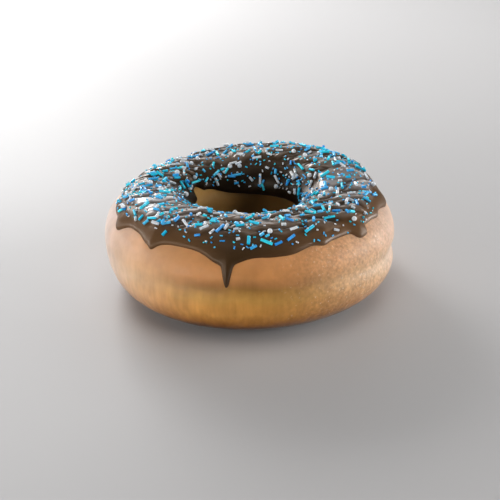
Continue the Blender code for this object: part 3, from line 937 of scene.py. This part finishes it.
class Resting:
    """Lays sprinkles down one by one, on the icing and on those that lie there already."""

    def __init__(self, surface):
        self.surface = surface
        self.centres = np.zeros((0, 3))
        self.radii = np.zeros(0)

    def height_over(self, place, normal, radius):
        """How far over a place the middle of a ball rests, or nothing past the icing's edge."""
        top = Vector(place) + Vector(normal) * DROP_HEIGHT
        hit = self.surface.ray_cast(top, -Vector(normal))
        if hit[0] is None:
            return None
        level = DROP_HEIGHT - hit[3] + radius - min(SPRINKLE_SINK, radius * SINK_SHARE)
        if len(self.centres):
            away = self.centres - place
            over = away @ normal
            aside = (away ** 2).sum(1) - over ** 2
            reach = self.radii + radius
            near = aside < reach ** 2
            if near.any():
                level = max(level, (over[near] + np.sqrt(reach[near] ** 2 - aside[near])).max())
        return level

    def lay(self, place, normal, direction, length, radius):
        """The middle and direction of a sprinkle at rest, or nothing where it would not stay.

        It rests on the two of its balls, one on each side of its middle, that hold it highest.
        """
        half = max(length / 2 - radius, 0)
        count = max(3, int(half / radius) * 2 + 1) if half else 1
        offsets = np.linspace(-half, half, count)
        levels = [self.height_over(place + direction * offset, normal, radius) for offset in offsets]
        if None in levels:
            return None
        middle = count // 2
        best, slope = levels[middle], 0.0
        for i in range(middle):
            for j in range(middle + 1, count):
                tilt = (levels[j] - levels[i]) / (offsets[j] - offsets[i])
                level = levels[i] - offsets[i] * tilt
                if level >= best or (i == 0 and j == count - 1 and slope == 0.0):
                    best, slope = max(best, level), tilt
        if abs(slope) > STEEPEST_REST or best > HIGHEST_REST + radius:
            return None
        settled = direction + normal * slope
        settled = settled / np.linalg.norm(settled)
        centre = place + normal * best
        balls = np.array([centre + settled * offset for offset in offsets])
        self.centres = np.concatenate([self.centres, balls])
        self.radii = np.concatenate([self.radii, np.full(count, radius)])
        return centre, settled


def sprinkle_places():
    """All sprinkles at rest, in a list for each kind and colour."""
    mesh = icing.data
    surface = BVHTree.FromPolygons([vertex.co for vertex in mesh.vertices],
                                   [polygon.vertices for polygon in mesh.polygons])
    resting = Resting(surface)
    lists = {}
    draw = random.Random(LATER_SEED)

    def lay(kind, colour, place, normal, direction, length):
        radius = SPRINKLE_RADII[kind]
        girth = draw.uniform(*GIRTHS)
        extent = 0 if kind == "pearl" else length
        rested = resting.lay(place, normal, direction, extent, radius * girth)
        if rested:
            lists.setdefault((kind, colour), []).append((*rested, normal, length, girth))
        return rested

    for number, (kind, *rest) in enumerate(spaced_places()):
        colour = "white" if kind == "pearl" else FIRST_COLOURS[number % len(FIRST_COLOURS)]
        place, normal, direction, length = rest
        lay(kind, colour, place, normal, direction, length * STRAND_TRIM)
    colours, weights = zip(*COLOUR_SHARES)
    for kind, count, lengths in (("strand", LATER_STRANDS, SHORT_LENGTHS),
                                 ("pearl", LATER_PEARLS, SHORT_LENGTHS),
                                 ("bit", LATER_BITS, BIT_LENGTHS)):
        while count:
            drawn = drawn_place(draw, LATER_OUTSIDE, LATER_INSIDE, lengths,
                                OUTSIDE_SHIFTS, INSIDE_SHIFTS)
            colour = "white" if kind == "pearl" else draw.choices(colours, weights)[0]
            if drawn and lay(kind, colour, *drawn):
                count -= 1
    return lists


def sprinkle_tree(kind, material):
    """One rod or ball set on each point, turned and scaled as the point says.

    A rod has a narrower ring at each end and a full one just inside it, which bevels the end.
    """
    tree, points, size = geometry_tree(kind, ("radius", "bevel share", "seed"))

    def kept(name, data_type):
        node = add(tree, "GeometryNodeInputNamedAttribute", {"Name": name}, data_type=data_type)
        return node.outputs[0]

    girth = Field(tree, kept("girth", "FLOAT"))
    length = Field(tree, kept("length", "FLOAT"))
    if kind == "pearls":
        shape = add(tree, "GeometryNodeMeshIcoSphere",
                    {"Radius": size["radius"], "Subdivisions": 3}).outputs["Mesh"]
        scale = combine(tree, girth, girth, girth)
    else:
        line = add(tree, "GeometryNodeCurvePrimitiveLine", {"End": (0, 0, 1)}).outputs[0]
        line = add(tree, "GeometryNodeResampleCurve", {"Curve": line, "Count": 4}).outputs[0]
        factor = Field(tree, add(tree, "GeometryNodeSplineParameter").outputs["Factor"])
        ends = FIELD_MATHS.abs(factor - 0.5) > 0.4
        from_middle = 0.5 - size["bevel share"] * (1 - ends)
        spot = combine(tree, 0, 0, FIELD_MATHS.sign(factor - 0.5) * from_middle)
        line = add(tree, "GeometryNodeSetPosition", {"Geometry": line, "Position": spot}).outputs[0]
        line = add(tree, "GeometryNodeSetCurveRadius",
                   {"Curve": line, "Radius": 1 - BEVEL_TAPER * ends}).outputs[0]
        circle = add(tree, "GeometryNodeCurvePrimitiveCircle",
                     {"Resolution": STRAND_SIDES, "Radius": size["radius"]}).outputs[0]
        shape = add(tree, "GeometryNodeCurveToMesh",
                    {"Curve": line, "Profile Curve": circle, "Fill Caps": True}).outputs[0]
        scale = combine(tree, girth, girth, length)
    turned = add(tree, "FunctionNodeAxesToRotation",
                 {"Primary Axis": kept("direction", "FLOAT_VECTOR"),
                  "Secondary Axis": kept("up", "FLOAT_VECTOR")}).outputs[0]
    copies = add(tree, "GeometryNodeInstanceOnPoints",
                 {"Points": points, "Instance": shape, "Rotation": turned, "Scale": scale}).outputs[0]
    tint = add(tree, "FunctionNodeRandomValue", {"Seed": size["seed"]}, data_type="FLOAT")
    tint = next(output for output in tint.outputs if output.type == "VALUE")
    copies = stored(tree, copies, "tint", tint, domain="INSTANCE")
    end_tree(tree, copies, material)
    return tree


def sprinkle_points(name, places):
    """A mesh of loose points that carries each sprinkle's direction, upward side, length and girth."""
    mesh = bpy.data.meshes.new(name)
    mesh.from_pydata([tuple(place[0]) for place in places], [], [])
    for attribute_name, column, kind, field in (
            ("direction", 1, "FLOAT_VECTOR", "vector"), ("up", 2, "FLOAT_VECTOR", "vector"),
            ("length", 3, "FLOAT", "value"), ("girth", 4, "FLOAT", "value")):
        kept = mesh.attributes.new(attribute_name, kind, "POINT")
        values = np.array([place[column] for place in places], dtype=np.float32)
        kept.data.foreach_set(field, values.ravel())
    return mesh


def sugar_material(name, dark, light, clearness):
    """Pressed sugar in one colour, each piece a little darker or lighter than the next."""
    material, tree, shader = new_material(name)
    tint = attribute(tree, "tint")
    colour = mixed(tree, tint, dark, light)
    tone = mottled(tree, *SUGAR_TONE)
    shade = combine(tree, tone, tone, tone)
    feed(tree, mixed(tree, 1.0, colour, shade, "MULTIPLY"), shader.inputs["Base Color"])
    feed(tree, mottled(tree, *SUGAR_ROUGHNESS), shader.inputs["Roughness"])
    shader.inputs["Subsurface Weight"].default_value = 0.25
    shader.inputs["Subsurface Radius"].default_value = (1, 1, 1)
    shader.inputs["Subsurface Scale"].default_value = 0.4 * MM
    shader.inputs["Transmission Weight"].default_value = clearness
    return material


SUGARS = {
    "cyan": sugar_material("turquoise_sugar", (0.006, 0.56, 0.90), (0.030, 0.82, 1.0), 0.0),
    "blue": sugar_material("blue_sugar", (0.016, 0.36, 0.92), (0.09, 0.64, 1.00), 0.0),
    "white": sugar_material("white_sugar", (0.74, 0.80, 0.86), (0.97, 0.98, 1.00), 0.15),
}
SHARP_ANGLE = math.radians(55)

for (kind, colour), places in sorted(sprinkle_places().items()):
    name = f"{colour}_{kind}s"
    tree = sprinkle_tree(f"{kind}s", SUGARS[colour])
    sizes = {"radius": SPRINKLE_RADII[kind], "bevel share": BEVEL_SHARE, "seed": float(SPRINKLE_SEED)}
    sprinkles = grown(name, tree, sizes, sprinkle_points(name, places))
    sprinkles.data.set_sharp_from_angle(angle=SHARP_ANGLE)
    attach(sprinkles, "root")

# Floor, light and camera
# A plain pale floor and backdrop, with soft studio lights at both sides, behind, in front and
# overhead. The camera stands at the photograph's viewing angle.
FLOOR_SIZE = 1.4
FLOOR_COLOUR = (0.50, 0.49, 0.49)
LIT_POINT = Vector((0, 0, 20 * MM))
CAMERA_DISTANCE = 310.1 * MM
CAMERA_ELEVATION = math.radians(27.5)
CAMERA_LENS = 64.8
FRAME_WIDTH = 500
SENSOR_WIDTH = 36.0

# Where the middle of the ring's underside lies in the photograph, in pixels from its top left
ORIGIN_PIXEL = (248.4, 271.8)


def soft_light(name, place, size, power):
    """A white rectangular light that faces the doughnut."""
    lamp = bpy.data.lights.new(name, "AREA")
    lamp.shape = "RECTANGLE"
    lamp.size, lamp.size_y = size
    lamp.energy = power
    holder = bpy.data.objects.new(name, lamp)
    holder.location = place
    holder.rotation_euler = (Vector(place) - LIT_POINT).to_track_quat("Z", "Y").to_euler()
    bpy.context.collection.objects.link(holder)


floor_mesh = bpy.data.meshes.new("floor")
half = FLOOR_SIZE / 2
corners = [(-half, -half, 0), (half, -half, 0), (half, half, 0), (-half, half, 0)]
floor_mesh.from_pydata(corners, [], [(0, 1, 2, 3)])
floor = bpy.data.objects.new("floor", floor_mesh)
bpy.context.collection.objects.link(floor)
floor_material, floor_tree, floor_shader = new_material("plain_floor")
floor_shader.inputs["Base Color"].default_value = (*FLOOR_COLOUR, 1)
floor_shader.inputs["Roughness"].default_value = 0.6
floor_mesh.materials.append(floor_material)

soft_light("left light", (-0.70, 0.10, 0.10), (0.6, 0.15), 2.3)
soft_light("right light", (0.66, 0.07, 0.15), (0.6, 0.3), 4.9)
soft_light("back light", (0, 0.75, 0.24), (0.7, 0.3), 1.4)
soft_light("back left light", (-0.27, 0.58, 0.31), (0.25, 0.2), 2.9)
soft_light("far left light", (-0.45, 0.50, 0.33), (0.2, 0.15), 0.9)
soft_light("front light", (-0.45, -0.50, 0.12), (0.5, 0.2), 2.6)
soft_light("overhead light", (0, 0, 2.0), (1.5, 1.5), 10)
soft_light("small light", (0.56, -0.33, 0.31), (0.08, 0.08), 0.4)

# The backdrop that the camera sees is brighter than the light that it gives
world = bpy.data.worlds.new("studio")
world.use_nodes = True
lit = world.node_tree.nodes["Background"]
lit.inputs["Color"].default_value = (0.80, 0.84, 0.84, 1)
lit.inputs["Strength"].default_value = 0.03
seen = add(world.node_tree, "ShaderNodeBackground", {"Color": (0.40, 0.40, 0.40, 1), "Strength": 1.0})
straight = add(world.node_tree, "ShaderNodeLightPath").outputs["Is Camera Ray"]
either = add(world.node_tree, "ShaderNodeMixShader",
             {"Fac": straight, "Shader": lit.outputs[0], "Shader_001": seen.outputs[0]})
world.node_tree.links.new(either.outputs[0], world.node_tree.nodes["World Output"].inputs["Surface"])
bpy.context.scene.world = world


def camera_matrix():
    """The camera's place and turn, so that the origin shows at its pixel of the photograph."""
    stand = Vector((0, -math.cos(CAMERA_ELEVATION), math.sin(CAMERA_ELEVATION))) * CAMERA_DISTANCE
    ahead = -stand.normalized()
    right = Vector((1, 0, 0))
    up = right.cross(ahead)
    focal = CAMERA_LENS / SENSOR_WIDTH * FRAME_WIDTH
    aside = (ORIGIN_PIXEL[0] - FRAME_WIDTH / 2) / focal
    above = (FRAME_WIDTH / 2 - ORIGIN_PIXEL[1]) / focal
    tilt = math.atan(above)
    pan = math.atan2(aside, math.hypot(1, above))
    tilted = ahead * math.cos(tilt) - up * math.sin(tilt)
    up = up * math.cos(tilt) + ahead * math.sin(tilt)
    ahead = tilted * math.cos(pan) - right * math.sin(pan)
    right = right * math.cos(pan) + tilted * math.sin(pan)
    matrix = Matrix((right, up, -ahead)).transposed().to_4x4()
    matrix.translation = stand + Vector((*RING_MIDDLE, 0))
    return matrix


camera_data = bpy.data.cameras.new("camera")
camera_data.lens = CAMERA_LENS
camera_data.sensor_width = SENSOR_WIDTH
camera_data.clip_start = 0.01
camera = bpy.data.objects.new("camera", camera_data)
camera.matrix_world = camera_matrix()
bpy.context.collection.objects.link(camera)
bpy.context.scene.camera = camera
bpy.context.scene.view_settings.view_transform = "Standard"
